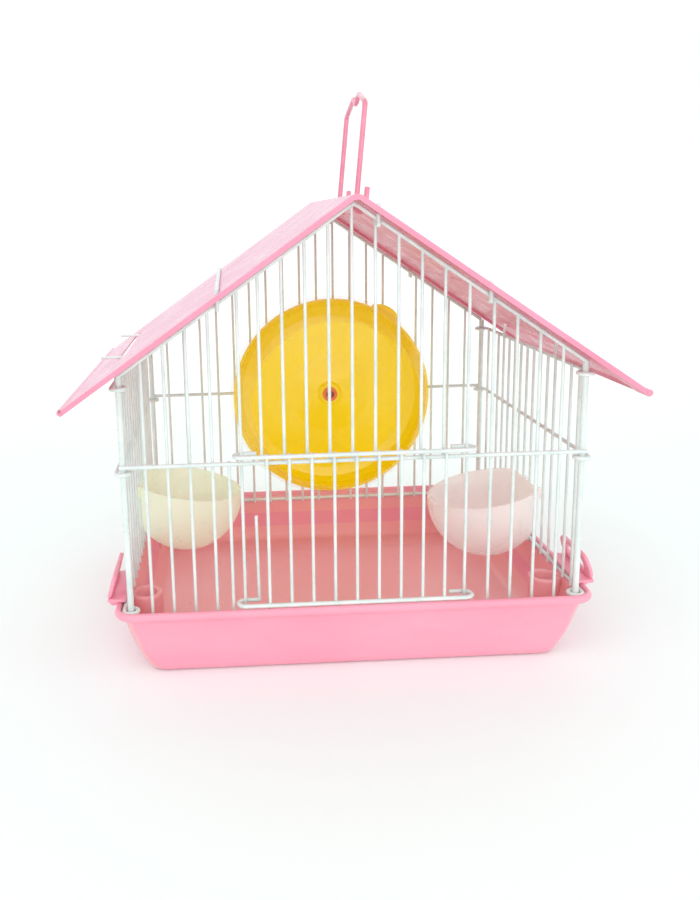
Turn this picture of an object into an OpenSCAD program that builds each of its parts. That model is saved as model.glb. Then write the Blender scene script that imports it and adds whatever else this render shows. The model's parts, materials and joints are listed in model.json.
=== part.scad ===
// Hamster cage: a wire house with a sheet roof on a moulded tray, with a running wheel and two cups.
// Millimetres. X runs across the front, Y runs to the back, Z is up.
// The origin is the middle of the tray's flat underside.

/* [Wire house] */
// Half the distance between corner post centres, across the front
post_x = 107; // [104:1:110]
// Half the distance between corner post centres, front to back
post_y = 82; // [80:1:84]
// Height of the end panels' bottom rails
end_foot_z = 29.4; // [29.2:0.1:29.8]
// Height of the front panel's middle rail
front_mid_z = 103.5; // [102.5:0.5:106]
// Height of the back panel's middle rail
back_mid_z = 102.5; // [102.5:0.5:106]
// Height of the side panels' middle rails
side_mid_z = 100.3; // [98:0.1:100.3]
// Height of the side panels' top rails
side_top_z = 140.2; // [138:0.2:141]
// Radius of the corner posts
post_r = 1.5; // [1.2:0.1:1.8]
// Radius of rails, rafters and door rails
rail_r = 1; // [0.9:0.05:1.1]
// Radius of the upright bars
bar_r = 0.75; // [0.6:0.05:0.85]
// Bars between the corner posts on each side panel
side_bar_count = 15; // [11:2:17]
// Bars between the corner posts on the back panel
back_bar_count = 19; // [15:2:21]

/* [Roof] */
// Pitch of each slope, degrees
roof_pitch = 34.6; // [32:0.1:36]
// Height of the ridge's outer surface
ridge_z = 223; // [218:0.2:226]
// Half the width across the eaves, bead included
eave_x = 132.8; // [125:0.2:140]
// Front edge of the sheet
roof_front_y = -94.8; // [-98:0.2:-92]
// Back edge of the sheet
roof_back_y = 89; // [88.4:0.2:92]
// Thickness of the sheet
sheet_t = 1; // [0.8:0.1:1.2]
// Thickness of the folded hems that rest on the rafters
hem_t = 2.3; // [2:0.1:2.6]
// Distance from the ridge to the retaining rods
rod_x = 61; // [55:1:66]
// Distance from the ridge to the handle's rod
handle_x = 10.5; // [10:0.1:11]

/* [Handle] */
// Radius of the handle's wire
handle_r = 1.3; // [1.2:0.05:1.4]
// Half the distance between the handle's legs
handle_half = 32; // [28:1:36]
// Height of the handle above its rod
handle_h = 56.5; // [50:0.5:62]
// Lean of the standing handle, degrees
handle_lean = 5.5; // [0:0.5:8]

/* [Door] */
// Distance from the middle to each door guide
guide_x = 52.5; // [52:0.1:53]
// Height of the door's lower rail
door_foot_z = 34.8; // [34.7:0.1:36]
// Height of the door's upper rail
door_top_z = 107.2; // [106:0.1:109]

/* [Tray] */
// Half the width over the rim
rim_x = 114.9; // [114.5:0.1:116]
// Half the depth over the rim
rim_y = 90; // [89.6:0.1:91]
// Height of the rim's top
rim_z = 33.6; // [33.4:0.1:33.8]
// Height of the ledge that the side panels stand on
ledge_z = 31.2; // [31:0.1:31.3]
// Thickness of the floor
floor_t = 2.6; // [2:0.1:3]
// Distance of the corner clips from the middle, along Y
clip_y = 58; // [50:1:62]

/* [Wheel] */
// Centre of the wheel, across
wheel_x = 4.4; // [2:0.1:7]
// Height of the wheel's centre
wheel_z = 107; // [100:0.5:112]
// Radius over the clear drum
wheel_r = 61; // [60.4:0.2:62]
// Front of the drum
wheel_front_y = 17; // [14:0.5:18]
// Radius of the axle
axle_r = 2.3; // [2.2:0.05:2.4]

/* [Cups] */
// Radius of each cup
cup_r = 31; // [29:0.5:32]
// Distance from the cup's centre to its flat back
cup_back = 23.4; // [22:0.2:24]
// Height of the left cup's centre
left_cup_z = 62.9; // [58:0.1:68]
// Height of the right cup's centre
right_cup_z = 56.5; // [52:0.1:62]

/* [Hidden] */
$fn = 48;
eps = 0.02;

wire_white = [0.93, 0.94, 0.93];
roof_pink = [0.97, 0.76, 0.84];
tray_pink = [0.97, 0.62, 0.71];
wheel_yellow = [0.99, 0.80, 0.06];
clear_plastic = [0.93, 0.91, 0.82, 0.5];
cup_cream = [0.93, 0.88, 0.80, 0.7];
axle_red = [0.62, 0.13, 0.05];
ring_orange = [0.93, 0.45, 0.10];

weld = 0.25;
rail_y = post_y + post_r + rail_r - 0.6;
end_bar_y = rail_y - rail_r - bar_r + weld;
end_bar_foot = 28.2;

// Roof planes: the outer surface is plane_z(x), and everything under it is set square to the slope.
tan_pitch = tan(roof_pitch);
cos_pitch = cos(roof_pitch);
bend_r = 5;
plane_apex = ridge_z - bend_r + bend_r / cos_pitch;
function plane_z(x) = plane_apex - tan_pitch * abs(x);
rafter_gap = 0.35;
function rafter_z(x) = plane_z(x) - (hem_t + rafter_gap + rail_r) / cos_pitch;

// Side panels: rails run outside the posts and curl round them.
ring_r = 3.3;
side_rail_x = post_x + ring_r;
side_bar_x = side_rail_x - rail_r - bar_r + weld;
side_foot_z = ledge_z + rail_r + 0.1;
side_pitch = 2 * post_y / (side_bar_count + 1);
function side_bar_at(k) = -post_y + side_pitch * k;
roof_hook_bars = [4, 12];
roof_hook_z = 148;
roof_hook_x = 120;

// Retaining rods and the handle's rod lie on the sheet, and hook under the end rafters.
rod_end_y = rail_y + rail_r + rail_r + 0.5;
rod_hook_y = rail_y - 0.4;
function rod_z(x) = plane_z(x) + (rail_r + eps) / cos_pitch;
rod_hole_r = 1.25;
handle_y = -4;
loop_clear = 0.08;
loop_r = rail_r + loop_clear + handle_r;
// The slots leave room for the loops through the handle's whole swing.
loop_slot_in = 4.9;
loop_slot_out = 5.7;

// Door: rails in front of the end rail, bars behind the door's own rails.
door_rail_y = rail_y + 3.65;
door_bar_y = door_rail_y - rail_r - bar_r + weld;
door_hook_back_y = end_bar_y - bar_r - 0.2 - rail_r;
door_bar_foot = 32.6;
door_bar_count = 9;
door_bar_first = -40.9;
door_bar_pitch = 10.37;
door_hook_tip = 45.5;
door_tail_z = 77;

// Front bars: the ones beside the door run the whole height, the ones over it start at the middle rail.
left_pitch = 10.3;
right_pitch = 10.8;
over_door_count = 9;
over_door_first = -43;
over_door_pitch = 10.55;
short_bar_x = -58.2;

// Tray: [height, half width, half depth, corner radius] of each level of a shell.
tray_outside = [
    [0, 96.6, 78.6, 6], [1.2, 99.4, 81.2, 8], [4, 101.9, 82.9, 9],
    [16, 107.4, 85.4, 9.5], [29.4, 111.2, 87.2, 9.5]
];
tray_inside = [
    [floor_t, 97.2, 79.2, 6], [5, 100, 81.2, 7], [16, 105.6, 83.7, 7.5], [27.6, 109, 85.2, 7]
];
rim_levels = [
    [29.4, rim_x - 1, rim_y - 1, 8.4], [30.2, rim_x, rim_y, 9.4],
    [32.7, rim_x, rim_y, 9.4], [rim_z - 0.1, rim_x - 0.8, rim_y - 0.8, 8.6]
];
upper_cavity = [[27.5, 109.3, 85.4, 5], [rim_z + 1, 109.3, 85.4, 5]];
ledge_cavity = [[ledge_z, 112, 87, 6.2], [rim_z + 1, 112, 87, 6.2]];
socket_x = 102.5;
socket_y = -54;
socket_r = 8.5;
socket_bore_r = 5.6;
socket_top = 29.6;
socket_floor = 21.5;

// Clips: barrel on a pin between two lugs on the rim, a nose over the side panel's bottom rail.
pin_r = 1;
clip_bore_r = 1.06;
barrel_r = 2.2;
clip_x = rim_x + barrel_r + 0.3;
clip_z = 30.6;
barrel_half = 6;
lug_gap = 0.3;
lug_t = 2.8;
clip_half = 18;
clip_t = 2.2;
clip_lean = 16.4;
clip_len = 14.3;
shoulder_r = 8;
nose_foot = rim_z + 0.3 - clip_z;
nose_t = 1.6;
nose_reach = clip_x - (side_bar_x + bar_r) - 0.4;

// Wheel: radius and distance along the axle, both faces of the dish.
dish_outline = [
    [axle_r + 0.06, 50], [6, 50], [7.6, 51.4], [24, 54.2], [48, 55.6], [53.4, 53.6],
    [56.4, 49.6], [57.5, 44], [57.5, 41.4], [59, 41.4], [59, 44.4], [58, 50.3],
    [54.6, 55.3], [49, 57.3], [24, 56], [8, 55], [6, 58.5], [axle_r + 0.06, 58.5]
];
drum_shell = [
    [59, 45], [wheel_r, 45], [wheel_r, 41.5], [50.4, wheel_front_y + 0.4],
    [48.9, wheel_front_y + 0.4], [59, 41.4]
];
rung_count = 16;
rung_r = 0.7;
boss_y = 59.5;
plate_y = 78.2;
plate_t = 3;
arm_angle = 46.5;
arm_w = 24;
arm_end = 65.5;
arm_nose_r = arm_w * 0.62;
upper_clip_x = -post_x + 2 * post_x / (back_bar_count + 1) * 14;

// Cups: flat back close to the side bars, two hooks round neighbouring bars.
cup_t = 1.4;
cup_x = side_bar_x - bar_r - 1.65 - cup_back;
rim_tilt = 10.6;
cup_rim = 6.6;
cup_hook_z = 3;
cup_hook_h = 6;
left_cup_y = side_bar_at(8);
right_cup_y = side_bar_at(7);

// A straight wire from point a to point b.
module wire(a, b, r) {
    span = b - a;
    length = norm(span);
    translate(a)
        rotate([0, acos(span[2] / length), atan2(span[1], span[0])])
            cylinder(h = length, r = r);
}

// Wires joined end to end; each corner is a ball, a little fatter than the wire where swell is set.
module wire_run(points, r, swell = 0) {
    for (i = [0 : len(points) - 2])
        wire(points[i], points[i + 1], r);
    for (i = [1 : len(points) - 2])
        translate(points[i])
            sphere(r = r + swell);
}

// A thin slab with round corners, used as one level of a shell.
module level(l) {
    for (sx = [-1, 1], sy = [-1, 1])
        translate([sx * (l[1] - l[3]), sy * (l[2] - l[3]), l[0]])
            cylinder(h = 0.1, r = l[3], $fn = 32);
}

module shell(levels) {
    hull()
        for (l = levels)
            level(l);
}

// Posts, rafters and rails of one end panel: side is -1 at the front and 1 at the back.
module end_frame(side, mid_z) {
    y = side * rail_y;
    for (sx = [-1, 1]) {
        wire([sx * post_x, side * post_y, end_bar_foot],
             [sx * post_x, side * post_y, rafter_z(post_x)], post_r);
        wire([0, y, rafter_z(0)], [sx * post_x, y, rafter_z(post_x)], rail_r);
    }
    translate([0, y, rafter_z(0)])
        sphere(r = rail_r);
    // The bottom rail stops inside the posts, clear of the tray's corners.
    wire([-post_x + 0.6, y, end_foot_z], [post_x - 0.6, y, end_foot_z], rail_r);
    wire([-post_x - 1.5, y, mid_z], [post_x + 1.5, y, mid_z], rail_r);
}

module end_bar(x, y, z_low, z_high) {
    wire([x, y, z_low], [x, y, z_high], bar_r);
}

module front_panel() {
    y = -end_bar_y;
    color(wire_white) {
        end_frame(-1, front_mid_z);
        for (k = [1:4]) {
            end_bar(-post_x + left_pitch * k, y, end_bar_foot, rafter_z(post_x - left_pitch * k) + 0.5);
            end_bar(post_x - right_pitch * k, y, end_bar_foot, rafter_z(post_x - right_pitch * k) + 0.5);
        }
        for (sx = [-1, 1])
            end_bar(sx * guide_x, y, end_bar_foot, rafter_z(guide_x) + 0.5);
        end_bar(short_bar_x, y, end_bar_foot, front_mid_z + 0.9);
        for (i = [0 : over_door_count - 1]) {
            x = over_door_first + over_door_pitch * i;
            end_bar(x, y, front_mid_z - 0.9, rafter_z(x) + 0.5);
        }
    }
}

module back_panel() {
    pitch = 2 * post_x / (back_bar_count + 1);
    color(wire_white) {
        end_frame(1, back_mid_z);
        for (k = [1 : back_bar_count]) {
            x = -post_x + pitch * k;
            end_bar(x, end_bar_y, end_bar_foot, rafter_z(x) + 0.5);
        }
    }
}

// The right side panel; the left one is the same panel turned round.
module side_panel() {
    for (z = [side_foot_z, side_mid_z, side_top_z]) {
        wire([side_rail_x, -post_y, z], [side_rail_x, post_y, z], rail_r);
        for (turn = [0, 180])
            translate([post_x, turn > 0 ? -post_y : post_y, z])
                rotate([turn, 0, 0])
                    rotate_extrude(angle = 290)
                        translate([ring_r, 0])
                            circle(r = rail_r);
    }
    for (k = [1 : side_bar_count]) {
        y = side_bar_at(k);
        hooked = len(search(k, roof_hook_bars)) > 0;
        if (hooked)
            wire_run([
                [side_bar_x, y, ledge_z + 0.2],
                [side_bar_x, y, roof_hook_z],
                [roof_hook_x, y, roof_hook_z]
            ], bar_r);
        else
            wire([side_bar_x, y, ledge_z + 0.2], [side_bar_x, y, side_top_z + 1], bar_r);
    }
}

module left_panel() {
    color(wire_white) rotate([0, 0, 180]) side_panel();
}

module right_panel() {
    color(wire_white) side_panel();
}

// One door rail: both ends turn back round the guides.
module door_rail(z) {
    turn_r = (door_rail_y - door_hook_back_y) / 2;
    turn_x = guide_x - 0.3;
    wire([-turn_x, -door_rail_y, z], [turn_x, -door_rail_y, z], rail_r);
    for (sx = [-1, 1]) {
        translate([sx * turn_x, -door_rail_y + turn_r, z])
            rotate([0, 0, sx > 0 ? -90 : 90])
                rotate_extrude(angle = 180)
                    translate([turn_r, 0])
                        circle(r = rail_r);
        wire([sx * turn_x, -door_hook_back_y, z], [sx * door_hook_tip, -door_hook_back_y, z], rail_r);
    }
}

module door() {
    color(wire_white) {
        door_rail(door_foot_z);
        door_rail(door_top_z);
        for (i = [0 : door_bar_count - 1]) {
            x = door_bar_first + door_bar_pitch * i;
            end_bar(x, -door_bar_y, door_bar_foot, door_top_z + 0.9);
        }
        // A tail bent up from the lower left hook steadies the door behind the bars.
        wire([-door_hook_tip - 0.3, -door_hook_back_y, door_foot_z],
             [-door_hook_tip - 0.8, -door_hook_back_y, door_tail_z], bar_r);
    }
}

// The sheet's section: two slopes and a round ridge, t thick under the outer surface.
module roof_section(t, half) {
    centre_z = ridge_z - bend_r;
    steps = 12;
    difference() {
        polygon(concat(
            [[-half, plane_z(half)]],
            [for (i = [0 : steps])
                let (a = 90 + roof_pitch - 2 * roof_pitch * i / steps)
                [bend_r * cos(a), centre_z + bend_r * sin(a)]],
            [[half, plane_z(half)], [half, plane_z(half) - 20],
             [0, plane_z(0) - 20], [-half, plane_z(half) - 20]]
        ));
        polygon(concat(
            [[-half - 1, plane_z(half + 1) - t / cos_pitch]],
            [for (i = [0 : steps])
                let (a = 90 + roof_pitch - 2 * roof_pitch * i / steps)
                [(bend_r - t) * cos(a), centre_z + (bend_r - t) * sin(a)]],
            [[half + 1, plane_z(half + 1) - t / cos_pitch],
             [half + 1, plane_z(half) - 40], [-half - 1, plane_z(half) - 40]]
        ));
    }
}

module roof_strip(t, y_from, y_to) {
    bead_r = 1.5;
    bead_x = eave_x - bead_r;
    translate([0, y_to, 0])
        rotate([90, 0, 0])
            linear_extrude(height = y_to - y_from) {
                roof_section(t, bead_x);
                for (sx = [-1, 1])
                    translate([sx * bead_x, plane_z(bead_x) - 0.9])
                        circle(r = bead_r);
            }
}

module roof_sheet() {
    hem = 12.6;
    slit_half = side_bar_at(roof_hook_bars[1]) + 2;
    color(roof_pink)
        difference() {
            union() {
                roof_strip(hem_t, roof_front_y, roof_front_y + hem);
                roof_strip(sheet_t, roof_front_y + hem, roof_back_y - hem / 2);
                roof_strip(hem_t, roof_back_y - hem / 2, roof_back_y);
            }
            for (sx = [-1, 1]) {
                // Slit for the side panels' hooks
                translate([sx * (side_bar_x + 0.95) - 2.05, -slit_half, 130])
                    cube([4.1, 2 * slit_half, 40]);
                // Row of short slots under each retaining rod
                for (i = [-2 : 2])
                    translate([sx * rod_x - 0.6, 27 * i - 11, 150])
                        cube([1.2, 22, 50]);
                for (sy = [-1, 1])
                    translate([sx * rod_x, sy * rod_end_y, 150])
                        cylinder(h = 50, r = rod_hole_r);
            }
            for (sy = [-1, 1]) {
                translate([handle_x, sy * rod_end_y, 195])
                    cylinder(h = 40, r = rod_hole_r);
                translate([handle_x - loop_slot_in, handle_y + sy * handle_half - 1.7, 195])
                    cube([loop_slot_in + loop_slot_out, 3.4, 40]);
            }
        }
}

// A rod along the slope at x, bent down through the sheet and in under both end rafters.
module roof_rod(x) {
    hook_z = rafter_z(x) - (2 * rail_r + 0.1) / cos_pitch;
    color(wire_white)
        wire_run([
            [x, -rod_hook_y, hook_z], [x, -rod_end_y, hook_z], [x, -rod_end_y, rod_z(x)],
            [x, rod_end_y, rod_z(x)], [x, rod_end_y, hook_z], [x, rod_hook_y, hook_z]
        ], rail_r);
}

module roof_rod_left() { roof_rod(-rod_x); }
module roof_rod_right() { roof_rod(rod_x); }
module handle_rod() { roof_rod(handle_x); }

// The handle stands on its rod: a loop under the rod at each foot, with a short upturned end.
module handle() {
    shoulder = 50;
    dip = 5;
    color(roof_pink)
        translate([handle_x, handle_y, rod_z(handle_x)])
            rotate([0, handle_lean, 0]) {
                for (sy = [-1, 1])
                    translate([0, sy * handle_half, 0]) {
                        rotate([90, 0, 0])
                            rotate([0, 0, 180])
                                rotate_extrude(angle = 180)
                                    translate([loop_r, 0])
                                        circle(r = handle_r);
                        wire([loop_r, 0, 0], [loop_r, 0, 10], handle_r);
                    }
                wire_run([
                    [-loop_r, -handle_half, 0],
                    [-loop_r, -handle_half, shoulder - 2],
                    [-loop_r, -handle_half + 2, shoulder],
                    [-loop_r, -8, handle_h],
                    [-loop_r, 0, handle_h - dip],
                    [-loop_r, 8, handle_h],
                    [-loop_r, handle_half - 2, shoulder],
                    [-loop_r, handle_half, shoulder - 2],
                    [-loop_r, handle_half, 0]
                ], handle_r, 0.05);
            }
}

module tray_lugs() {
    for (sx = [-1, 1], sy = [-1, 1])
        translate([0, sy * clip_y, 0]) {
            for (side = [-1, 1])
                translate([0, side * (barrel_half + lug_gap + lug_t / 2), 0]) {
                    translate([sx * clip_x, lug_t / 2, clip_z])
                        rotate([90, 0, 0])
                            cylinder(h = lug_t, r = barrel_r);
                    translate([sx > 0 ? rim_x - 1 : -clip_x, -lug_t / 2, clip_z - barrel_r + 0.8])
                        cube([clip_x - rim_x + 1, lug_t, 2 * barrel_r - 1.6]);
                }
            translate([sx * clip_x, barrel_half + 1, clip_z])
                rotate([90, 0, 0])
                    cylinder(h = 2 * barrel_half + 2, r = pin_r);
        }
}

module tray() {
    color(tray_pink) {
        difference() {
            union() {
                difference() {
                    union() {
                        shell(tray_outside);
                        shell(rim_levels);
                    }
                    shell(tray_inside);
                    shell(upper_cavity);
                    shell(ledge_cavity);
                }
                // Moulded sockets in the front corners, kept inside the wall
                intersection() {
                    for (sx = [-1, 1])
                        translate([sx * socket_x, socket_y, 1])
                            cylinder(h = socket_top - 1, r = socket_r);
                    shell(tray_outside);
                }
            }
            for (sx = [-1, 1])
                translate([sx * socket_x, socket_y, socket_floor])
                    cylinder(h = 30, r = socket_bore_r);
        }
        tray_lugs();
    }
}

// One clip in its own axes: pin at the origin, u outwards, w up. Shown closed.
module clip_shape() {
    difference() {
        union() {
            rotate([90, 0, 0])
                cylinder(h = 2 * barrel_half, r = barrel_r, center = true);
            translate([-1.2, -barrel_half, 0])
                cube([3.3, 2 * barrel_half, nose_foot + 1]);
            intersection() {
                union() {
                    translate([1.35, 0, nose_foot])
                        rotate([0, -clip_lean, 0]) {
                            translate([-clip_t / 2, -clip_half, 0])
                                cube([clip_t, 2 * clip_half, clip_len - 1.1]);
                            translate([0, 0, clip_len - 1.1])
                                rotate([90, 0, 0])
                                    cylinder(h = 2 * clip_half, r = clip_t / 2, center = true);
                        }
                    translate([-nose_reach, -clip_half, nose_foot])
                        cube([nose_reach + 1.6, 2 * clip_half, nose_t]);
                }
                // Round shoulders seen from the side
                translate([-20, 0, 0])
                    rotate([90, 0, 90])
                        linear_extrude(height = 40) {
                            translate([-clip_half, nose_foot])
                                square([2 * clip_half, clip_len - shoulder_r]);
                            translate([-clip_half + shoulder_r, nose_foot])
                                square([2 * clip_half - 2 * shoulder_r, clip_len]);
                            for (sy = [-1, 1])
                                translate([sy * (clip_half - shoulder_r), nose_foot + clip_len - shoulder_r])
                                    circle(r = shoulder_r);
                        }
            }
        }
        rotate([90, 0, 0])
            cylinder(h = 50, r = clip_bore_r, center = true);
        // Finger slot
        translate([0, 0, nose_foot])
            rotate([0, -clip_lean, 0])
                translate([-6, -11, 4])
                    cube([14, 22, 7]);
    }
}

module clip(sx, sy) {
    color(tray_pink)
        translate([sx * clip_x, sy * clip_y, clip_z])
            mirror([sx > 0 ? 0 : 1, 0, 0])
                clip_shape();
}

module clip_front_left() { clip(-1, -1); }
module clip_front_right() { clip(1, -1); }
module clip_back_left() { clip(-1, 1); }
module clip_back_right() { clip(1, 1); }

// Turns a shape drawn round Z so that it lies round the axle, with its height running to the back.
module on_axle() {
    translate([wheel_x, 0, wheel_z])
        rotate([-90, 0, 0])
            children();
}

module wheel_dish() {
    color(wheel_yellow)
        on_axle()
            rotate_extrude($fn = 96)
                polygon(dish_outline);
}

module wheel_drum() {
    color(clear_plastic)
        on_axle() {
            rotate_extrude($fn = 96) {
                polygon(drum_shell);
                translate([49.5, wheel_front_y])
                    circle(r = 1.1, $fn = 32);
            }
            for (i = [0 : rung_count - 1])
                rotate([0, 0, 360 * (i + 0.5) / rung_count])
                    wire([57.9, 0, 39], [49.4, 0, wheel_front_y + 1], rung_r);
        }
}

module wheel_bracket() {
    color(wheel_yellow)
        difference() {
            union() {
                on_axle() {
                    translate([0, 0, boss_y])
                        cylinder(h = plate_y + plate_t - boss_y, r = 7.5);
                    // Plate with an arm to the upper right; its end is rounded
                    translate([0, 0, plate_y])
                        linear_extrude(height = plate_t)
                            union() {
                                circle(r = arm_w / 2 + 0.4);
                                rotate(-arm_angle)
                                    intersection() {
                                        translate([0, -arm_w / 2])
                                            square([arm_end, arm_w]);
                                        union() {
                                            translate([0, -arm_w / 2])
                                                square([arm_end - arm_nose_r, arm_w]);
                                            translate([arm_end - arm_nose_r - 0.5, 0])
                                                circle(r = arm_nose_r, $fn = 72);
                                        }
                                    }
                            }
                }
                // Hook over the back panel's middle rail
                translate([wheel_x - 1.9, plate_y + plate_t - 1, back_mid_z + rail_r + 0.2])
                    cube([6, rail_y + rail_r + 1.5 - plate_y - plate_t + 1, 2.6]);
                translate([wheel_x - 1.9, rail_y + rail_r + 0.2, back_mid_z - 3.6])
                    cube([6, 1.3, 7.2]);
                // Hook round a back bar
                translate([upper_clip_x + bar_r + 0.5, plate_y + plate_t - 1, 141])
                    cube([1.7, end_bar_y + bar_r + 2 - plate_y - plate_t + 1, 8]);
                translate([upper_clip_x - bar_r, end_bar_y + bar_r + 0.3, 141])
                    cube([2 * bar_r + 2.2, 1.7, 8]);
            }
            on_axle()
                translate([0, 0, boss_y - 1])
                    cylinder(h = 18, r = axle_r);
        }
}

module wheel_axle() {
    color(axle_red)
        on_axle()
            translate([0, 0, 47.4])
                cylinder(h = boss_y + 17 - 47.4, r = axle_r);
}

module wheel_retainer() {
    color(ring_orange)
        on_axle()
            translate([0, 0, 48])
                difference() {
                    cylinder(h = 1.8, r = 4.3);
                    translate([0, 0, -1])
                        cylinder(h = 4, r = axle_r);
                }
}

// A cup without its rim cut: round bottom, upright sides, flat back at x = back.
module cup_solid(r, back) {
    intersection() {
        union() {
            sphere(r = r, $fn = 72);
            cylinder(h = 20, r = r, $fn = 72);
        }
        translate([-r - 1, -r - 1, -r - 1])
            cube([back + r + 1, 2 * r + 2, r + 22]);
    }
}

module cup_shape() {
    difference() {
        cup_solid(cup_r, cup_back);
        cup_solid(cup_r - cup_t, cup_back - cup_t);
        // Sloping rim, low at the front of the cup
        translate([0, 0, cup_rim])
            rotate([0, -rim_tilt, 0])
                translate([-60, -60, 0])
                    cube([120, 120, 60]);
    }
    for (sy = [-1, 1])
        translate([cup_back - 0.4, sy * side_pitch, cup_hook_z])
            mirror([0, sy > 0 ? 0 : 1, 0]) {
                translate([0, bar_r + 0.1, 0])
                    cube([1.65 + 2 * bar_r + 0.2 + 0.4 + 1.6, 1.6, cup_hook_h]);
                translate([1.65 + 2 * bar_r + 0.2 + 0.4, -bar_r, 0])
                    cube([1.6, 2 * bar_r + 1.7, cup_hook_h]);
            }
}

module cup_left() {
    color(cup_cream)
        translate([-cup_x, left_cup_y, left_cup_z])
            mirror([1, 0, 0])
                cup_shape();
}

module cup_right() {
    color(cup_cream)
        translate([cup_x, right_cup_y, right_cup_z])
            cup_shape();
}

tray();
front_panel();
back_panel();
left_panel();
right_panel();
door();
roof_sheet();
roof_rod_left();
roof_rod_right();
handle_rod();
handle();
clip_front_left();
clip_front_right();
clip_back_left();
clip_back_right();
wheel_dish();
wheel_drum();
wheel_bracket();
wheel_axle();
wheel_retainer();
cup_left();
cup_right();
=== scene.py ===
import json
import math
import random
import bpy
import bmesh
from mathutils import Matrix, Vector

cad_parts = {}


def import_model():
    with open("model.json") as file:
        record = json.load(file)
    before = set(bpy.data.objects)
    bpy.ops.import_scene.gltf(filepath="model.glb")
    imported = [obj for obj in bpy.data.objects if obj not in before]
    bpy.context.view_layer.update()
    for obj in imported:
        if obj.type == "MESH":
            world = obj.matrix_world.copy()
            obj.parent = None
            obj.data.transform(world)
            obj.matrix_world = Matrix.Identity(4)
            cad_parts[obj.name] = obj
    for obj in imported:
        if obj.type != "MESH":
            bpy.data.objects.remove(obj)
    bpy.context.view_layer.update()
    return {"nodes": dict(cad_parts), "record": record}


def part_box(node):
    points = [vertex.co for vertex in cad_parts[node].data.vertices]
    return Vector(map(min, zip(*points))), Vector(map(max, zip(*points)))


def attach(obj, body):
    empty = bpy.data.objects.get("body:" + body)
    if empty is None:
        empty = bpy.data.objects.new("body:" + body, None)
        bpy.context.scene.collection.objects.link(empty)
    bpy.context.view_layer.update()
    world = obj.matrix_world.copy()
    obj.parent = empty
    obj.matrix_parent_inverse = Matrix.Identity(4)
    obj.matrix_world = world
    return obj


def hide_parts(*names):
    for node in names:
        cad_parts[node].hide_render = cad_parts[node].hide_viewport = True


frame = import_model()
nodes = frame["nodes"]
MM = 0.001
random.seed(7)


# ---------------------------------------------------------------- materials

def srgb(*rgb):
    return tuple((c / 12.92 if c <= 0.04045 else ((c + 0.055) / 1.055) ** 2.4) for c in rgb) + (1.0,)


class Mat:
    """A node tree with short calls for the nodes that every finish here uses."""

    def __init__(self, name):
        self.m = bpy.data.materials.new(name)
        self.m.use_nodes = True
        self.t = self.m.node_tree
        self.b = self.t.nodes["Principled BSDF"]
        self.pos = self.t.nodes.new("ShaderNodeTexCoord").outputs["Object"]

    def set(self, **values):
        for key, v in values.items():
            self.b.inputs[key.replace("_", " ")].default_value = v
        return self

    def noise(self, scale, detail=3.0, rough=0.5, stretch=None):
        n = self.t.nodes.new("ShaderNodeTexNoise")
        n.inputs["Scale"].default_value = scale
        n.inputs["Detail"].default_value = detail
        n.inputs["Roughness"].default_value = rough
        source = self.pos
        if stretch:
            mp = self.t.nodes.new("ShaderNodeMapping")
            mp.inputs["Scale"].default_value = stretch
            self.t.links.new(self.pos, mp.inputs["Vector"])
            source = mp.outputs["Vector"]
        self.t.links.new(source, n.inputs["Vector"])
        return n.outputs["Fac"]

    def spots(self, scale):
        v = self.t.nodes.new("ShaderNodeTexVoronoi")
        v.inputs["Scale"].default_value = scale
        self.t.links.new(self.pos, v.inputs["Vector"])
        return v.outputs["Distance"]

    def ramp(self, fac, stops):
        r = self.t.nodes.new("ShaderNodeValToRGB")
        e = r.color_ramp.elements
        while len(e) < len(stops):
            e.new(0.5)
        for el, (p, c) in zip(e, stops):
            el.position = p
            el.color = c
        self.t.links.new(fac, r.inputs["Fac"])
        return r.outputs["Color"]

    def span(self, fac, lo, hi, a=0.0, b=1.0):
        r = self.t.nodes.new("ShaderNodeMapRange")
        for key, v in (("From Min", lo), ("From Max", hi), ("To Min", a), ("To Max", b)):
            r.inputs[key].default_value = v
        self.t.links.new(fac, r.inputs["Value"])
        return r.outputs["Result"]

    def math(self, kind, a, b):
        n = self.t.nodes.new("ShaderNodeMath")
        n.operation = kind
        for i, v in enumerate((a, b)):
            if isinstance(v, (int, float)):
                n.inputs[i].default_value = v
            else:
                self.t.links.new(v, n.inputs[i])
        return n.outputs["Value"]

    def axis(self, i, kind="Object"):
        s = self.t.nodes.new("ShaderNodeSeparateXYZ")
        self.t.links.new(self.pos.node.outputs[kind], s.inputs["Vector"])
        return s.outputs[i]

    def mix(self, fac, a, b, blend="MIX"):
        n = self.t.nodes.new("ShaderNodeMix")
        n.data_type = "RGBA"
        n.blend_type = blend
        for key, v in ((0, fac), (6, a), (7, b)):
            if isinstance(v, (int, float, tuple)):
                n.inputs[key].default_value = v
            else:
                self.t.links.new(v, n.inputs[key])
        return n.outputs[2]

    def link(self, out, socket):
        self.t.links.new(out, self.b.inputs[socket])
        return self

    def bump(self, height, strength, distance=0.0004):
        n = self.t.nodes.new("ShaderNodeBump")
        n.inputs["Strength"].default_value = strength
        n.inputs["Distance"].default_value = distance
        self.t.links.new(height, n.inputs["Height"])
        old = self.b.inputs["Normal"]
        if old.links:
            self.t.links.new(old.links[0].from_socket, n.inputs["Normal"])
        self.t.links.new(n.outputs["Normal"], old)
        return self


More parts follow.
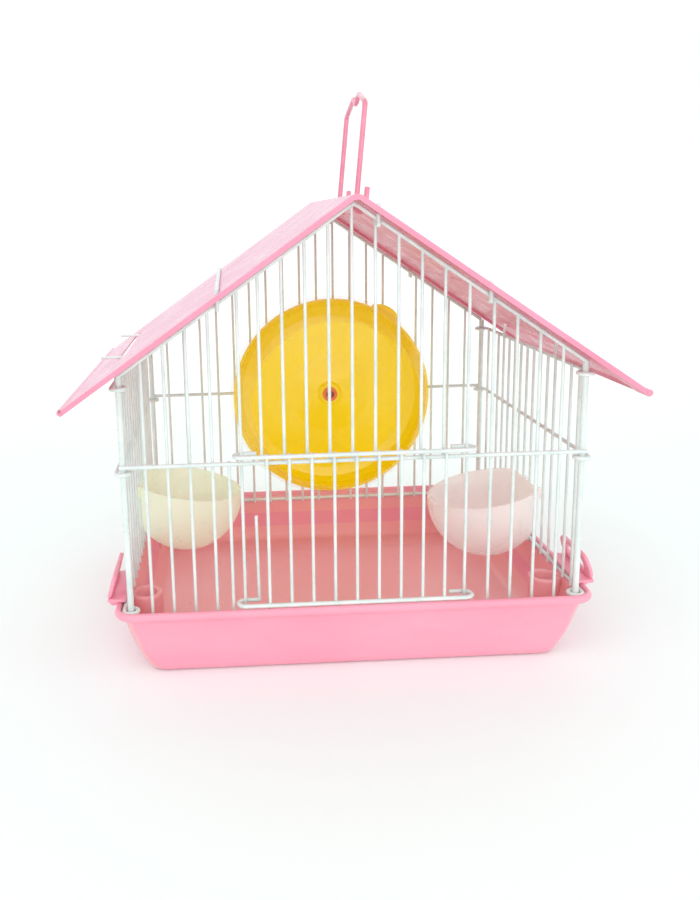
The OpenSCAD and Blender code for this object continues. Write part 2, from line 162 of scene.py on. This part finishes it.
def wire_coat():
    """White plastic coat on wire: slightly uneven, with faint grey handling marks."""
    k = Mat("wire_white")
    k.set(Roughness=0.3, Coat_Weight=0.35, Coat_Roughness=0.15)
    # Painted light: a faint cool glow keeps the wire from taking on the pink bounce light
    k.b.inputs["Emission Color"].default_value = srgb(0.78, 0.95, 0.92)
    k.b.inputs["Emission Strength"].default_value = 0.05
    base = k.ramp(k.noise(90, 4), [(0.3, srgb(0.83, 0.875, 0.865)), (0.65, srgb(0.90, 0.93, 0.92))])
    dirt = k.span(k.noise(420, 5, 0.7), 0.68, 0.78)
    k.link(k.mix(dirt, base, srgb(0.74, 0.75, 0.72)), "Base Color")
    k.link(k.span(k.noise(300), 0.3, 0.7, 0.24, 0.4), "Roughness")
    return k.bump(k.noise(700, 3), 0.12, 0.0002).m


def roof_paint():
    """Baked pink enamel on sheet: orange peel, a slow waviness and small chips by the eaves."""
    k = Mat("roof_pink")
    k.set(Coat_Weight=0.08, Coat_Roughness=0.3, IOR=1.35)
    lit_outside = k.ramp(k.noise(26, 3), [(0.3, srgb(0.965, 0.70, 0.80)), (0.7, srgb(0.975, 0.74, 0.835))])
    inside = k.ramp(k.noise(26, 3), [(0.3, srgb(0.90, 0.42, 0.53)), (0.7, srgb(0.92, 0.47, 0.58))])
    # Painted light: the upward faces get a lighter, lit pink and the underside a deeper, shaded pink
    faces_up = k.span(k.axis(2, "Normal"), -0.1, 0.1)
    base = k.mix(faces_up, inside, lit_outside)
    x = k.math("ABSOLUTE", k.axis(0), 0.0)
    near_eave = k.span(x, 0.1295, 0.1325)
    chips = k.math("MULTIPLY", k.span(k.noise(520, 4, 0.7), 0.60, 0.64), near_eave)
    scuff = k.math("MULTIPLY", k.span(k.noise(150, 4, 0.6), 0.70, 0.82), 0.10)
    base = k.mix(scuff, base, srgb(0.90, 0.74, 0.79))
    k.link(k.mix(chips, base, srgb(0.34, 0.24, 0.25)), "Base Color")
    k.link(k.span(k.noise(60, 4), 0.3, 0.7, 0.22, 0.4), "Roughness")
    k.bump(k.noise(22, 2), 0.10, 0.0008)
    return k.bump(k.noise(900, 2), 0.05, 0.0001).m


def handle_paint():
    k = Mat("handle_pink")
    k.set(Coat_Weight=0.5, Coat_Roughness=0.1)
    base = k.ramp(k.noise(70, 3), [(0.3, srgb(0.90, 0.52, 0.62)), (0.7, srgb(0.955, 0.60, 0.69))])
    worn = k.span(k.noise(300, 5, 0.7), 0.66, 0.72)
    k.link(k.mix(worn, base, srgb(0.80, 0.50, 0.56)), "Base Color")
    k.link(k.span(k.noise(200), 0.3, 0.7, 0.22, 0.38), "Roughness")
    return k.bump(k.noise(500, 3), 0.14, 0.0002).m


def tray_plastic():
    """Moulded pink plastic: fine texture, soft scatter, faint flow marks, a few dark specks."""
    k = Mat("tray_pink")
    k.set(Subsurface_Weight=0.12, Subsurface_Scale=0.004, IOR=1.48)
    k.b.inputs["Subsurface Radius"].default_value = (1.0, 0.4, 0.35)
    flow = k.noise(14, 4, 0.55, (1, 1, 3.0))
    outer = k.ramp(flow, [(0.3, srgb(0.98, 0.63, 0.715)), (0.7, srgb(0.99, 0.675, 0.755))])
    # Painted light: the inside below the rim is painted a lighter pink, to lift the shade that falls in it
    inner = k.ramp(flow, [(0.3, srgb(1.0, 0.69, 0.71)), (0.7, srgb(1.0, 0.74, 0.755))])
    across = k.math("ABSOLUTE", k.axis(0), 0.0)
    along = k.math("ABSOLUTE", k.axis(1), 0.0)
    low = k.span(k.axis(2), 0.0295, 0.031, 1.0, 0.0)
    z = k.axis(2)
    wall_x = k.math("ADD", 0.0996, k.math("MULTIPLY", z, 0.36))
    wall_y = k.math("ADD", 0.0808, k.math("MULTIPLY", z, 0.17))
    inside = k.math("MULTIPLY", k.math("LESS_THAN", across, wall_x), k.math("LESS_THAN", along, wall_y))
    inside = k.math("MULTIPLY", inside, k.math("GREATER_THAN", z, 0.0015))
    base = k.mix(k.math("MULTIPLY", inside, low), outer, inner)
    specks = k.math("MULTIPLY", k.span(k.spots(62), 0.055, 0.03), k.math("GREATER_THAN", k.noise(31), 0.56))
    k.link(k.mix(k.math("MULTIPLY", specks, 0.5), base, srgb(0.62, 0.28, 0.33)), "Base Color")
    k.link(k.span(k.noise(45, 5, 0.6), 0.3, 0.7, 0.26, 0.44), "Roughness")
    k.bump(k.noise(1500, 2), 0.08, 0.0002)
    scratch = k.noise(240, 3, 0.6, (0.12, 1, 1))
    return k.bump(k.span(scratch, 0.62, 0.68), 0.10, 0.0001).m


def wheel_plastic():
    k = Mat("wheel_yellow")
    k.set(Subsurface_Weight=0.06, Subsurface_Scale=0.003, Coat_Weight=0.2, Coat_Roughness=0.1)
    k.b.inputs["Subsurface Radius"].default_value = (1.0, 0.6, 0.1)
    base = k.ramp(k.noise(22, 3), [(0.3, srgb(0.97, 0.90, 0.02)), (0.7, srgb(0.98, 0.925, 0.05))])
    k.link(base, "Base Color")
    # Painted light: a faint yellow glow stands in for light coming through the thin plastic
    k.b.inputs["Emission Color"].default_value = srgb(1.0, 0.82, 0.0)
    k.b.inputs["Emission Strength"].default_value = 0.12
    k.link(k.span(k.noise(70, 4), 0.3, 0.7, 0.2, 0.34), "Roughness")
    k.bump(k.noise(30, 2), 0.12, 0.0008)
    return k.bump(k.noise(1100, 2), 0.06, 0.0002).m


def clear_plastic():
    """Clear styrene: near-clear, a little warm, with fine scratches round the tread."""
    k = Mat("clear_plastic")
    k.set(IOR=1.5, Alpha=0.12, Coat_Weight=0.6, Coat_Roughness=0.05)
    # Painted light: a faint warm glow, though the plastic is no lamp
    k.b.inputs["Emission Color"].default_value = srgb(1.0, 0.80, 0.10)
    k.b.inputs["Emission Strength"].default_value = 0.05
    tint = k.ramp(k.noise(30, 3), [(0.3, srgb(1.0, 0.88, 0.34)), (0.7, srgb(1.0, 0.92, 0.50))])
    k.link(tint, "Base Color")
    k.link(k.span(k.noise(160, 5, 0.7), 0.4, 0.75, 0.06, 0.28), "Roughness")
    return k.bump(k.noise(90, 4), 0.15, 0.0003).m


def cup_plastic(name, low, high, glow):
    """Thin translucent plastic, milky, with slight uneven thickness."""
    k = Mat(name)
    k.set(IOR=1.45, Alpha=0.72, Subsurface_Weight=0.30, Subsurface_Scale=0.003)
    k.link(k.ramp(k.noise(38, 4), [(0.3, low), (0.7, high)]), "Base Color")
    # Painted light: a glow stands in for light that comes through the thin wall
    k.b.inputs["Emission Color"].default_value = glow
    k.b.inputs["Emission Strength"].default_value = 0.16
    k.link(k.span(k.noise(80, 4), 0.3, 0.7, 0.22, 0.42), "Roughness")
    k.bump(k.noise(45, 2), 0.12, 0.0006)
    return k.bump(k.noise(900, 2), 0.05, 0.0002).m


def small_plastic(name, low, high):
    k = Mat(name)
    k.set(Coat_Weight=0.3, Coat_Roughness=0.1)
    k.link(k.ramp(k.noise(120, 3), [(0.3, low), (0.7, high)]), "Base Color")
    k.link(k.span(k.noise(300), 0.3, 0.7, 0.22, 0.36), "Roughness")
    return k.bump(k.noise(900, 3), 0.1, 0.0002).m


MATS = {
    "wire_white": wire_coat(),
    "roof_pink": roof_paint(),
    "handle_pink": handle_paint(),
    "tray_pink": tray_plastic(),
    "wheel_yellow": wheel_plastic(),
    "clear_plastic": clear_plastic(),
    "cup_cream": cup_plastic("cup_cream", srgb(0.95, 0.93, 0.84), srgb(0.97, 0.955, 0.88), srgb(0.80, 0.97, 0.88)),
    "cup_rose": cup_plastic("cup_rose", srgb(0.945, 0.90, 0.89), srgb(0.965, 0.93, 0.92), srgb(0.85, 0.92, 0.90)),
    "axle_red": small_plastic("axle_red", srgb(0.50, 0.10, 0.04), srgb(0.62, 0.16, 0.06)),
    "ring_orange": small_plastic("ring_orange", srgb(0.90, 0.42, 0.07), srgb(0.96, 0.52, 0.12)),
}
for sub in frame["record"]["subparts"]:
    mesh = nodes[sub["node"]].data
    mesh.materials.clear()
    mesh.materials.append(MATS[sub["material_slot"]])


# ---------------------------------------------------------------- mesh helpers

def add_piece(name, mesh, slot, body, *replaced, smooth=True):
    obj = bpy.data.objects.new(name, mesh)
    bpy.context.scene.collection.objects.link(obj)
    mesh.materials.append(MATS[slot])
    if smooth:
        for p in mesh.polygons:
            p.use_smooth = True
    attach(obj, body)
    if replaced:
        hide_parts(*replaced)
    return obj


def rounded_rect(hx, hy, r, per=14, side=10):
    """Points round a rounded rectangle, the same number whatever its size."""
    out = []
    for cx, cy, a0 in ((hx - r, hy - r, 0), (-hx + r, hy - r, 90), (-hx + r, -hy + r, 180), (hx - r, -hy + r, 270)):
        arc = [(cx + r * math.cos(math.radians(a0 + 90 * i / per)),
                cy + r * math.sin(math.radians(a0 + 90 * i / per))) for i in range(per + 1)]
        out += arc
        ex, ey = arc[-1]
        nxt = {0: (-hx + r, hy), 90: (-hx, -hy + r), 180: (hx - r, -hy), 270: (hx, hy - r)}[a0]
        for j in range(1, side):
            t = j / side
            out.append((ex + (nxt[0] - ex) * t, ey + (nxt[1] - ey) * t))
    return out


def loft(rings, closed_ends=True):
    """A mesh through rings of the same number of points; the first and last rings are capped."""
    bm = bmesh.new()
    rows = [[bm.verts.new(Vector(p) * MM) for p in ring] for ring in rings]
    n = len(rows[0])
    for a, b in zip(rows, rows[1:]):
        for i in range(n):
            bm.faces.new((a[i], a[(i + 1) % n], b[(i + 1) % n], b[i]))
    if closed_ends:
        bm.faces.new(list(reversed(rows[0])))
        bm.faces.new(rows[-1])
    bmesh.ops.recalc_face_normals(bm, faces=bm.faces)
    me = bpy.data.meshes.new("m")
    bm.to_mesh(me)
    bm.free()
    return me


def lathe(profile, steps, place):
    """Profile of (radius, height) points turned once round, closed on itself, then placed."""
    bm = bmesh.new()
    rows = []
    for i in range(steps):
        a = 2 * math.pi * i / steps
        rows.append([bm.verts.new(place(r * math.cos(a), r * math.sin(a), h) * MM) for r, h in profile])
    n = len(profile)
    for i in range(steps):
        a, b = rows[i], rows[(i + 1) % steps]
        for j in range(n):
            bm.faces.new((a[j], b[j], b[(j + 1) % n], a[(j + 1) % n]))
    bmesh.ops.recalc_face_normals(bm, faces=bm.faces)
    me = bpy.data.meshes.new("m")
    bm.to_mesh(me)
    bm.free()
    return me


def smooth_path(points, radius, steps=6):
    """The points with each corner turned into an arc that starts radius before it."""
    pts = [Vector(p) for p in points]
    out = [pts[0]]
    for a, b, c in zip(pts, pts[1:], pts[2:]):
        r = min(radius, (a - b).length * 0.48, (c - b).length * 0.48)
        p, q = b + (a - b).normalized() * r, b + (c - b).normalized() * r
        for i in range(steps + 1):
            t = i / steps
            out.append(p * (1 - t) ** 2 + b * 2 * t * (1 - t) + q * t ** 2)
    return out + [pts[-1]]


def tube(points, r, sides=14):
    """A round wire along points, with domed ends."""
    pts = [Vector(p) for p in points]
    rings = []
    ref = None
    for i, p in enumerate(pts):
        t = (pts[min(i + 1, len(pts) - 1)] - pts[max(i - 1, 0)]).normalized()
        if ref is None:
            ref = t.orthogonal().normalized()
        ref = (ref - t * ref.dot(t)).normalized()
        side = t.cross(ref)
        ends = [(0.0, 1.0)]
        if i == 0:
            ends = [(-0.9, 0.3), (-0.6, 0.75), (0.0, 1.0)]
        if i == len(pts) - 1:
            ends = [(0.0, 1.0), (0.6, 0.75), (0.9, 0.3)]
        for along, k in ends:
            back = along * r * 0.5
            shift = 0.45 * r * (1 if i == 0 else -1) if len(ends) > 1 else 0.0
            rings.append([p + t * (back + shift) + (ref * math.cos(2 * math.pi * j / sides) + side * math.sin(2 * math.pi * j / sides)) * r * k
                          for j in range(sides)])
    return loft(rings)


# ---------------------------------------------------------------- tray

OUT = [(0.0, 94.6, 76.6, 4.0), (0.0, 96.6, 78.6, 6.0), (0.35, 98.4, 80.2, 7.4), (1.2, 99.9, 81.4, 8.2),
       (2.6, 101.1, 82.3, 8.8), (4.5, 102.1, 82.9, 9.0), (8.0, 103.9, 83.7, 9.2), (12.0, 105.8, 84.6, 9.4),
       (16.0, 107.3, 85.3, 9.5), (20.0, 108.6, 85.9, 9.5), (24.0, 109.8, 86.5, 9.5), (27.6, 110.8, 87.0, 9.5),
       (28.9, 111.3, 87.3, 9.3), (29.5, 112.3, 88.2, 9.0), (29.7, 113.6, 89.2, 9.0)]
RIM = [(30.3, 114.5, 89.7, 9.3), (31.0, 114.85, 89.95, 9.5), (32.0, 114.9, 90.0, 9.5), (32.9, 114.5, 89.7, 9.3),
       (33.4, 113.9, 89.1, 8.8), (33.6, 113.2, 88.4, 8.0), (33.45, 112.5, 87.6, 7.2), (33.0, 112.1, 87.15, 6.6),
       (31.5, 112.0, 87.0, 6.3), (31.25, 111.7, 86.9, 6.2), (31.2, 110.6, 86.2, 5.8), (31.1, 109.7, 85.7, 5.4)]
IN = [(30.6, 109.35, 85.45, 5.1), (27.7, 109.1, 85.2, 6.5), (24.0, 108.0, 84.6, 7.0), (20.0, 106.8, 84.2, 7.3),
      (16.0, 105.6, 83.7, 7.5), (12.0, 103.9, 82.9, 7.4), (8.0, 101.9, 81.9, 7.2), (5.4, 100.4, 81.3, 7.0),
      (4.0, 99.2, 80.4, 6.6), (3.1, 98.0, 79.6, 6.2), (2.7, 96.4, 78.2, 5.6), (2.6, 94.6, 76.4, 5.0)]


def wall_inner(z):
    """Half width of the tray's inside at height z."""
    rows = sorted((l[0], l[1]) for l in IN)
    for (z0, x0), (z1, x1) in zip(rows, rows[1:]):
        if z0 <= z <= z1:
            return x0 + (x1 - x0) * (z - z0) / max(z1 - z0, 1e-6)
    return rows[-1][1]


def floor_height(x, y):
    """The moulded floor: a raised panel with a soft step, its folds, and slight unevenness."""
    h = 2.6 + 0.10 * math.sin(x * 0.035 + 1.0) * math.cos(y * 0.045)
    edge = max(abs(x) - 78.0, abs(y) - 60.0)
    h += 0.5 / (1 + math.exp(edge * 1.6))
    for x0, y0, x1, y1 in ((-85, 35, -50, 60), (85, 35, 50, 60), (-85, -35, -50, -60), (85, -35, 50, -60)):
        dx, dy = x1 - x0, y1 - y0
        t = max(0.0, min(1.0, ((x - x0) * dx + (y - y0) * dy) / (dx * dx + dy * dy)))
        d = math.hypot(x - x0 - t * dx, y - y0 - t * dy)
        h += 0.45 * math.exp(-(d / 1.3) ** 2)
    return h


def make_tray():
    rings = [[(x, y, z) for x, y in rounded_rect(hx, hy, r)] for z, hx, hy, r in OUT + RIM + IN]
    bm = bmesh.new()
    rows = [[bm.verts.new(Vector(p) * MM) for p in ring] for ring in rings]
    n = len(rows[0])
    for a, b in zip(rows, rows[1:]):
        for i in range(n):
            bm.faces.new((a[i], a[(i + 1) % n], b[(i + 1) % n], b[i]))
    bm.faces.new(list(reversed(rows[0])))
    # Floor: rings shrink towards the middle and carry the relief
    last = rounded_rect(94.6, 76.4, 5.0)
    prev = rows[-1]
    for k in range(1, 60):
        s = 1 - k / 60
        row = [bm.verts.new(Vector((x * s, y * s, floor_height(x * s, y * s) if k > 1 else 2.62)) * MM) for x, y in last]
        for i in range(n):
            bm.faces.new((prev[i], prev[(i + 1) % n], row[(i + 1) % n], row[i]))
        prev = row
    bm.faces.new(prev)
    bmesh.ops.recalc_face_normals(bm, faces=bm.faces)
    me = bpy.data.meshes.new("tray_shell")
    bm.to_mesh(me)
    bm.free()
    return add_piece("tray_shell", me, "tray_pink", "house", "tray")


def make_socket(sx):
    prof = [(8.5, 2.2 + 26.4 * i / 12) for i in range(13)] + [ (8.3, 29.2), (7.9, 29.6), (6.3, 29.6), (5.8, 29.3), (5.6, 28.7), (5.6, 21.9),
            (5.2, 21.5), (0.4, 21.5), (0.4, 2.2)]
    cx, cy = sx * 102.5, -54.0

    def place(x, y, z):
        wx = cx + x
        limit = wall_inner(max(3.1, min(z, 30.0))) + 0.8
        return Vector((max(-limit, min(limit, wx)), cy + y, z))
    return add_piece("tray_socket_" + ("left" if sx < 0 else "right"), lathe(prof, 64, place), "tray_pink", "house")


def make_lugs(sx, sy):
    """Two rounded ears on the rim and the pin between them."""
    bm = bmesh.new()
    cx, cz = 117.4, 30.6
    for side in (-1, 1):
        y0 = sy * 58.0 + side * 7.7 - 1.4
        outline = [(113.6, 29.1), (116.3, 28.75)]
        outline += [(cx + 2.2 * math.cos(math.radians(a)), cz + 2.2 * math.sin(math.radians(a))) for a in range(-110, 121, 15)]
        outline += [(116.2, 32.3), (113.6, 32.1)]
        rows = []
        for dy, k in ((0.0, 0.88), (0.15, 0.96), (0.45, 1.0), (2.35, 1.0), (2.65, 0.96), (2.8, 0.88)):
            rows.append([bm.verts.new(Vector((sx * (115.8 + (x - 115.8) * k), y0 + dy, cz + (z - cz) * k)) * MM) for x, z in outline])
        m = len(outline)
        for a, b in zip(rows, rows[1:]):
            for i in range(m):
                bm.faces.new((a[i], a[(i + 1) % m], b[(i + 1) % m], b[i]))
        bm.faces.new(rows[0])
        bm.faces.new(list(reversed(rows[-1])))
    ring = [[bm.verts.new(Vector((sx * (cx + math.cos(2 * math.pi * j / 20)), sy * 58.0 + y, cz + math.sin(2 * math.pi * j / 20))) * MM)
             for j in range(20)] for y in (-7.0, 7.0)]
    for j in range(20):
        bm.faces.new((ring[0][j], ring[0][(j + 1) % 20], ring[1][(j + 1) % 20], ring[1][j]))
    bm.faces.new(ring[0])
    bm.faces.new(list(reversed(ring[1])))
    bmesh.ops.recalc_face_normals(bm, faces=bm.faces)
    me = bpy.data.meshes.new("lugs")
    bm.to_mesh(me)
    bm.free()
    name = "tray_lugs_" + ("back" if sy > 0 else "front") + ("_left" if sx < 0 else "_right")
    return add_piece(name, me, "tray_pink", "house")


make_tray()
for sx in (-1, 1):
    make_socket(sx)
    for sy in (-1, 1):
        make_lugs(sx, sy)


# ---------------------------------------------------------------- clips

BARREL_HALF = 6.0
NOSE_TOP = 4.9
NOSE_REACH = 117.4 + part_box("clip_front_left")[1][0] / MM


def make_clip(sx, sy):
    """A corner clip with moulded round edges: a leaning frame, a tongue over the rail and the barrel."""
    name = "clip_" + ("back" if sy > 0 else "front") + ("_left" if sx < 0 else "_right")
    origin = Vector((sx * 117.4, sy * 58.0, 30.6))
    lean = math.radians(16.4)

    def world(u, v, w):
        return (origin + Vector((sx * u, v, w))) * MM

    def leaning(u, v, w):
        return world(1.35 + u * math.cos(lean) - w * math.sin(lean), v, 3.3 + w * math.cos(lean) + u * math.sin(lean))
    outer = rounded_rect(18.0, 7.05, 6.8, 14, 10)
    inner = rounded_rect(11.0, 3.5, 3.0, 14, 10)
    bm = bmesh.new()
    rows = []
    for (ov, ow), (iv, iw) in zip(outer, inner):
        ring = []
        for j in range(16):
            a = 2 * math.pi * j / 16
            c, d = math.cos(a), math.sin(a)
            across = 0.5 + 0.5 * math.copysign(abs(c) ** 0.45, c)
            thick = 1.1 * math.copysign(abs(d) ** 0.6, d)
            v, w = ov + (iv - ov) * across, 7.05 + ow + (iw + 0.45 - ow) * across
            ring.append(bm.verts.new(leaning(thick, v, w)))
        rows.append(ring)
    for i in range(len(rows)):
        a, b = rows[i], rows[(i + 1) % len(rows)]
        for j in range(16):
            bm.faces.new((a[j], b[j], b[(j + 1) % 16], a[(j + 1) % 16]))
    # Tongue over the rail
    rings = []
    for w, inset in ((3.32, 0.35), (3.45, 0.1), (3.8, 0.0), (NOSE_TOP - 0.5, 0.0), (NOSE_TOP - 0.12, 0.12), (NOSE_TOP, 0.4)):
        mid, hx = (1.6 - NOSE_REACH) / 2, (1.6 + NOSE_REACH) / 2 - inset
        rings.append([bm.verts.new(world(mid + x, y, w)) for x, y in rounded_rect(hx, 17.9 - inset, min(1.2, hx * 0.5), 8, 12)])
    for a, b in zip(rings, rings[1:]):
        for i in range(len(a)):
            bm.faces.new((a[i], a[(i + 1) % len(a)], b[(i + 1) % len(a)], b[i]))
    bm.faces.new(list(reversed(rings[0])))
    bm.faces.new(rings[-1])
    # Barrel on the pin, with its web up to the frame
    prof = [(1.06, -6.0), (1.06, 6.0), (1.25, 6.2), (1.95, 6.2), (2.2, 5.9), (2.2, -5.9), (1.95, -6.2), (1.25, -6.2)]
    prof = [(r, y * BARREL_HALF / 6.2) for r, y in prof]
    turn = [[bm.verts.new(world(r * math.cos(2 * math.pi * i / 40), y, r * math.sin(2 * math.pi * i / 40))) for r, y in prof] for i in range(40)]
    for i in range(40):
        a, b = turn[i], turn[(i + 1) % 40]
        for j in range(len(prof)):
            bm.faces.new((a[j], b[j], b[(j + 1) % len(prof)], a[(j + 1) % len(prof)]))
    web = [[bm.verts.new(world(x, y, w)) for x, y in ((-1.1, -BARREL_HALF + 0.2), (2.1, -BARREL_HALF + 0.2), (2.1, BARREL_HALF - 0.2), (-1.1, BARREL_HALF - 0.2))]
           for w in (1.5, 2.4, 4.2)]
    for a, b in zip(web, web[1:]):
        for i in range(4):
            bm.faces.new((a[i], a[(i + 1) % 4], b[(i + 1) % 4], b[i]))
    bm.faces.new(list(reversed(web[0])))
    bm.faces.new(web[-1])
    bmesh.ops.recalc_face_normals(bm, faces=bm.faces)
    me = bpy.data.meshes.new(name + "_shell")
    bm.to_mesh(me)
    bm.free()
    body = "clip_" + ("b" if sy > 0 else "f") + ("l" if sx < 0 else "r")
    return add_piece(name + "_shell", me, "tray_pink", body, name)


for sx in (-1, 1):
    for sy in (-1, 1):
        make_clip(sx, sy)

# ---------------------------------------------------------------- handle

def make_handle():
    """One bent wire: an upturned end, the loop under the rod, a leg, the dipped top, and the same back."""
    lo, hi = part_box("handle")
    rod_lo, rod_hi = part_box("handle_rod")
    cx = (rod_lo[0] + rod_hi[0]) / 2 / MM
    cz = rod_hi[2] / MM - 1.0
    loop_r, r, half, top = 2.38, 1.3, 32.0, 56.5
    lean = Matrix.Rotation(math.radians(5.5), 4, "Y")

    def loop(y):
        return [(loop_r * math.cos(math.radians(a)), y, loop_r * math.sin(math.radians(a))) for a in range(0, -181, -15)]
    bail = smooth_path([(-loop_r, -half, 1), (-loop_r, -half, 48.5), (-loop_r, -half + 1.8, 50), (-loop_r, -8, top), (-loop_r, 0, top - 5),
                        (-loop_r, 8, top), (-loop_r, half - 1.8, 50), (-loop_r, half, 48.5), (-loop_r, half, 1)], 3.5)
    pts = [(loop_r, -half, 10.0), (loop_r, -half, 5.0)] + loop(-half) + bail + list(reversed(loop(half))) + [(loop_r, half, 5.0), (loop_r, half, 10.0)]
    world = [Vector((cx, -4.0, cz)) + lean @ Vector(p) for p in pts]
    return add_piece("handle_wire", tube(world, r, 18), "handle_pink", "handle_bail", "handle")


make_handle()

# ---------------------------------------------------------------- camera, light, floor


def make_camera():
    yaw, pitch, roll = math.radians(1.968), math.radians(-11.088 * -1), math.radians(-1.538)
    fwd = Vector((math.sin(yaw) * math.cos(pitch), math.cos(yaw) * math.cos(pitch), -math.sin(pitch)))
    right = Vector((math.cos(yaw), -math.sin(yaw), 0))
    up = right.cross(fwd)
    r2 = right * math.cos(roll) + up * math.sin(roll)
    u2 = up * math.cos(roll) - right * math.sin(roll)
    cam = bpy.data.objects.new("camera", bpy.data.cameras.new("camera"))
    bpy.context.scene.collection.objects.link(cam)
    rot = Matrix((r2, u2, -fwd)).transposed().to_4x4()
    cam.matrix_world = Matrix.Translation(Vector((-56.05, -464.38, 214.22)) * MM) @ rot
    cam.data.sensor_fit = "AUTO"
    cam.data.sensor_width = 36.0
    cam.data.lens = 858.63 * 36.0 / 900.0
    cam.data.shift_x = 0.1
    cam.data.shift_y = -64.0 / 900.0
    cam.data.clip_start = 0.01
    cam.data.clip_end = 20.0
    bpy.context.scene.camera = cam


def area(name, loc, size, power, target=(0, 0, 0.1), color=(1, 1, 1)):
    data = bpy.data.lights.new(name, "AREA")
    data.shape = "RECTANGLE"
    data.size, data.size_y = size
    data.energy = power
    data.color = color
    obj = bpy.data.objects.new(name, data)
    bpy.context.scene.collection.objects.link(obj)
    obj.location = loc
    obj.rotation_euler = (Vector(target) - Vector(loc)).to_track_quat("-Z", "Y").to_euler()


def make_stage():
    bm = bmesh.new()
    # Floor that curves up into a far wall
    section = [(-30.0, 0.0), (2.0, 0.0)] + [(2.0 + 1.5 * math.sin(a), 1.5 - 1.5 * math.cos(a)) for a in [math.radians(10 * i) for i in range(1, 10)]] + [(3.5, 6.0)]
    rows = [[bm.verts.new((x, y, z - 0.0002)) for x in (-30.0, 30.0)] for y, z in section]
    for a, b in zip(rows, rows[1:]):
        bm.faces.new((a[0], a[1], b[1], b[0]))
    me = bpy.data.meshes.new("floor")
    bm.to_mesh(me)
    bm.free()
    for p in me.polygons:
        p.use_smooth = True
    floor = bpy.data.objects.new("floor", me)
    bpy.context.scene.collection.objects.link(floor)
    k = Mat("floor")
    k.set(Roughness=0.6)
    k.link(k.ramp(k.noise(2.0), [(0.3, srgb(0.935, 0.965, 0.96)), (0.7, srgb(0.945, 0.975, 0.97))]), "Base Color")
    # Painted light: the sweep glows, a little on the near floor and more towards the far wall
    k.set(Emission_Color=(1, 1, 1, 1))
    k.link(k.span(k.axis(1), 0.1, 1.2, 0.08, 0.26), "Emission Strength")
    me.materials.append(k.m)
    world = bpy.data.worlds.new("studio")
    world.use_nodes = True
    world.node_tree.nodes["Background"].inputs[0].default_value = (1, 1, 1, 1)
    world.node_tree.nodes["Background"].inputs[1].default_value = 0.80
    bpy.context.scene.world = world
    area("key", (-0.5, -0.7, 1.3), (0.9, 0.9), 3.0)
    area("front", (0.05, -1.1, 0.35), (0.9, 0.6), 2.6, (0, 0.03, 0.1))
    area("fill", (0.9, -0.7, 0.5), (1.0, 1.0), 1.0)
    area("back", (0.2, 1.1, 1.2), (1.4, 0.8), 1.2)


make_camera()
make_stage()
bpy.context.scene.view_settings.view_transform = "Standard"
